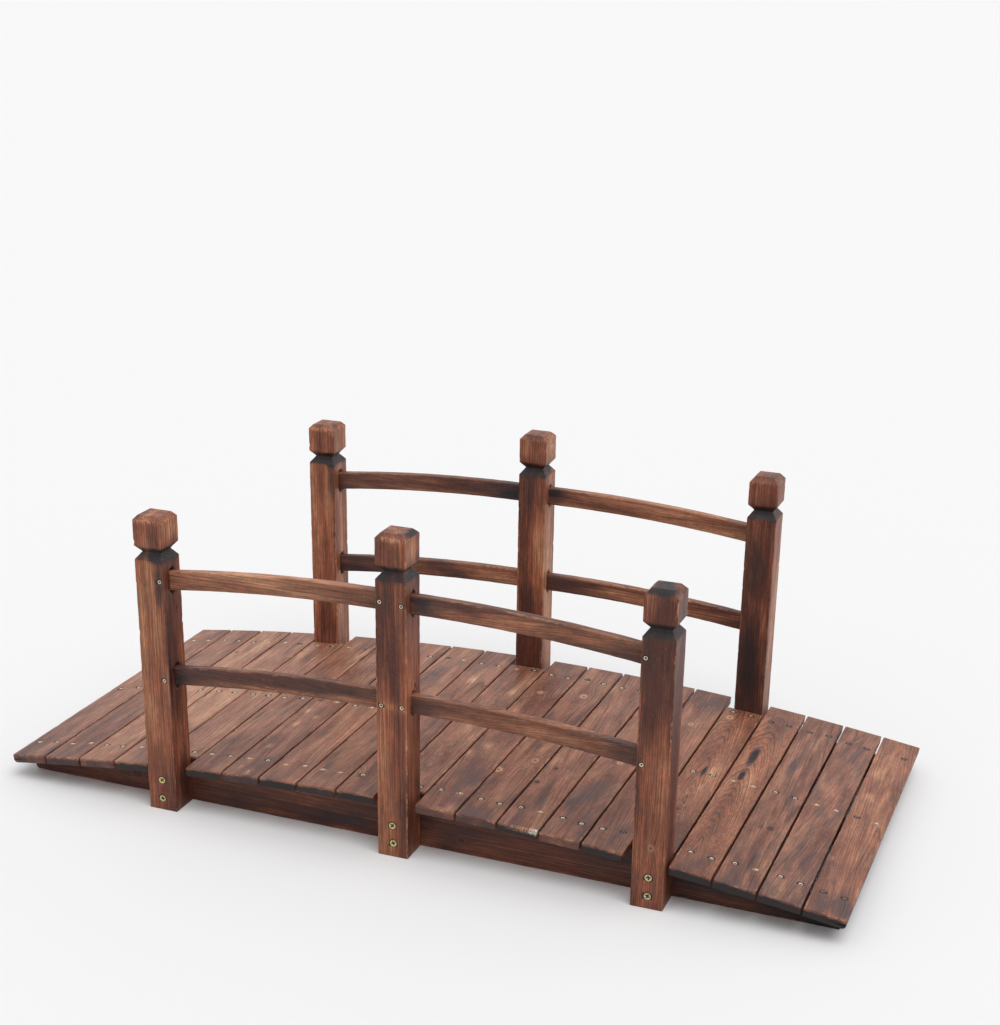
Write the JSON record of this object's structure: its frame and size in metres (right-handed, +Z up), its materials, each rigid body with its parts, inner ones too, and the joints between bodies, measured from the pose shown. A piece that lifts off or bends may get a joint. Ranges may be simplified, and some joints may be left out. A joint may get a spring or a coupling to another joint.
{
  "type": "arched garden footbridge",
  "caption": "Low arched wooden garden footbridge with flat-footed stringers, cross planks and post-and-rail sides, in charred fir.",
  "frame": {"origin": "on the ground, under the middle of the bridge, which is also the centre of the middle stringer's bottom face", "axes": "+X along the walk, +Y to the back side, +Z up"},
  "size_m": [1.4982, 0.6848, 0.5588],
  "materials": {
    "planks": "charred and brushed fir, warm brown with dark grain, violet-grey scorched patches and raised grain, satin",
    "posts": "charred and brushed fir, red-brown with dark grain lines, soot-black neck grooves and worn orange arrises, satin",
    "rails": "charred and brushed fir, brown with soot-dark ends and a paler worn top arris, satin",
    "stringers": "charred fir, dark red-brown with long grain, satin"
  },
  "bodies": {
    "root": {"plank_01": "planks", "plank_02": "planks", "plank_03": "planks", "plank_04": "planks", "plank_05": "planks", "plank_06": "planks", "plank_07": "planks", "plank_08": "planks", "plank_09": "planks", "plank_10": "planks", "plank_11": "planks", "plank_12": "planks", "plank_13": "planks", "plank_14": "planks", "plank_15": "planks", "plank_16": "planks", "plank_17": "planks", "plank_18": "planks", "plank_19": "planks", "plank_20": "planks", "plank_21": "planks", "stringer_front": "stringers", "stringer_middle": "stringers", "stringer_back": "stringers", "post_front_left": "posts", "post_front_middle": "posts", "post_front_right": "posts", "post_back_left": "posts", "post_back_middle": "posts", "post_back_right": "posts", "rail_front_left_upper": "rails", "rail_front_left_lower": "rails", "rail_front_right_upper": "rails", "rail_front_right_lower": "rails", "rail_back_left_upper": "rails", "rail_back_left_lower": "rails", "rail_back_right_upper": "rails", "rail_back_right_lower": "rails"}
  },
  "joints": []
}
